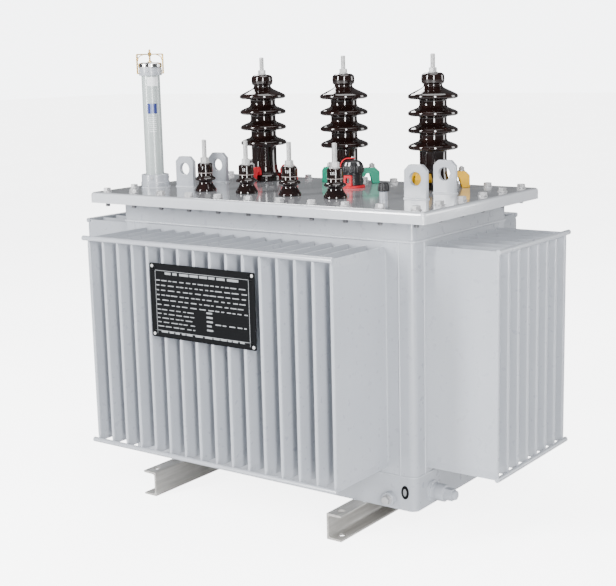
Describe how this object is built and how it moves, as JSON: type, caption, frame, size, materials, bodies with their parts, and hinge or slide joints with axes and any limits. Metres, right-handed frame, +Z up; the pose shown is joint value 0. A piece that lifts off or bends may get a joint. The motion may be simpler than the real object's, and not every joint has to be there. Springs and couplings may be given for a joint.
{
  "type": "power transformer",
  "caption": "Oil-filled distribution transformer with corrugated tank walls, bolted cover, high and low voltage bushings, lifting lugs and channel feet.",
  "frame": {"origin": "on the ground, below the middle of the tank, between the undersides of the two channel feet", "axes": "+X along the tank's length, -Y towards the nameplate and low voltage side, +Z up"},
  "size_m": [1.254, 0.862, 1.121],
  "materials": {
    "enamel": "gloss light grey enamel",
    "tube_enamel": "satin pale grey-green enamel",
    "bare_steel": "bare rolled steel",
    "bright_steel": "polished",
    "tinned": "tinned studs and nuts",
    "cage_brass": "yellow passivated",
    "porcelain": "dark brown gloss glaze",
    "gasket": "matte",
    "core_iron": "dark varnished laminations",
    "red_paint": "gloss",
    "green_paint": "gloss",
    "yellow_paint": "gloss",
    "black_plastic": "moulded",
    "plate_black": "black anodised plate with bare marks"
  },
  "bodies": {
    "transformer": {"base_channel_left": "bare_steel", "base_channel_right": "bare_steel", "tank_base": "enamel", "corner_posts": "enamel", "tank_neck": "enamel", "fin_wall_front": "enamel", "fin_wall_back": "enamel", "fin_wall_left": "enamel", "fin_wall_right": "enamel", "core_and_windings": "core_iron", "fin_rods": "enamel", "tank_flange": "enamel", "cover_gasket": "gasket", "cover": "enamel", "filler_collar": "enamel", "filler_tube": "tube_enamel", "filler_cap": "bright_steel", "cap_cage": "cage_brass", "tap_changer_base": "red_paint", "vent_neck": "enamel", "vent_cap": "black_plastic", "drain_valve": "enamel", "earth_terminal": "enamel", "nameplate": "plate_black", "hv_bushing_1": "porcelain", "hv_terminal_1": "tinned", "hv_clamps_1": "red_paint", "hv_bushing_2": "porcelain", "hv_terminal_2": "tinned", "hv_clamps_2": "green_paint", "hv_bushing_3": "porcelain", "hv_terminal_3": "tinned", "hv_clamps_3": "yellow_paint", "lv_bushing_1": "porcelain", "lv_terminal_1": "tinned", "lifting_lug_1": "enamel", "lv_bushing_2": "porcelain", "lv_terminal_2": "tinned", "lifting_lug_2": "enamel", "lv_bushing_3": "porcelain", "lv_terminal_3": "tinned", "lifting_lug_3": "enamel", "lv_bushing_4": "porcelain", "lv_terminal_4": "tinned", "lifting_lug_4": "enamel"},
    "selector": {"tap_changer_knob": "black_plastic"}
  },
  "joints": [
    {"name": "selector_turn", "type": "hinge", "parent": "transformer", "child": "selector", "pos_m": [0.07, 0.092, 0.808], "axis": [0, 0, 1], "range_deg": [-60, 60]}
  ]
}
